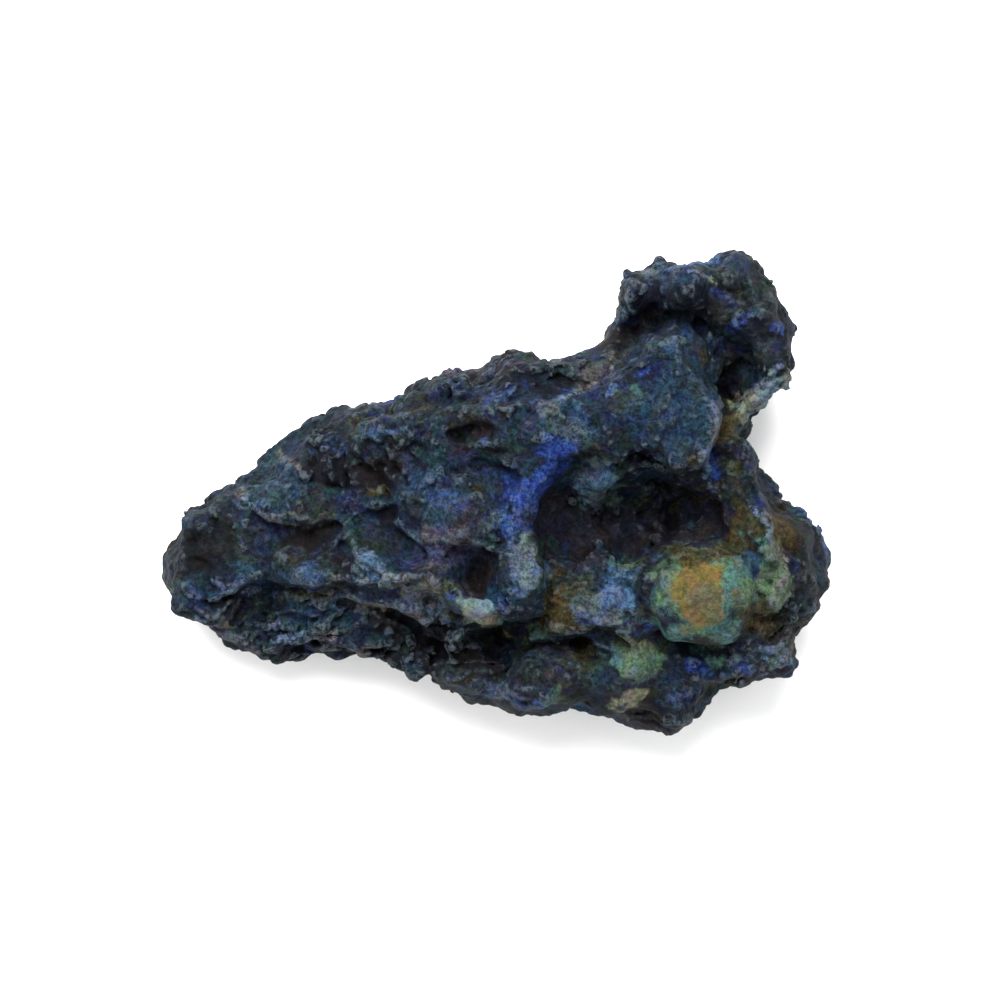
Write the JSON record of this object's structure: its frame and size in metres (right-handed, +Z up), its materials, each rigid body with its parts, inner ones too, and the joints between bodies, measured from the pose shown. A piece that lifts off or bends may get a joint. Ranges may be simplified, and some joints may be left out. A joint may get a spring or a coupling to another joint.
{
  "type": "azurite malachite geode",
  "caption": "Rough azurite and malachite specimen: a wedge of blue-green stone with a horn at one end and an open vug in its face, lying on a flat break.",
  "frame": {"origin": "on the flat break that the stone rests on, under the middle of its bounding box", "axes": "+X along the length, from the tapered tip to the vug end; +Y towards the horn; +Z up, out of the face with the vug"},
  "size_m": [0.101, 0.073, 0.04],
  "materials": {
    "stone": "rough, matt, blue-green with ochre spots"
  },
  "bodies": {
    "root": {"geode": "stone"}
  },
  "joints": []
}
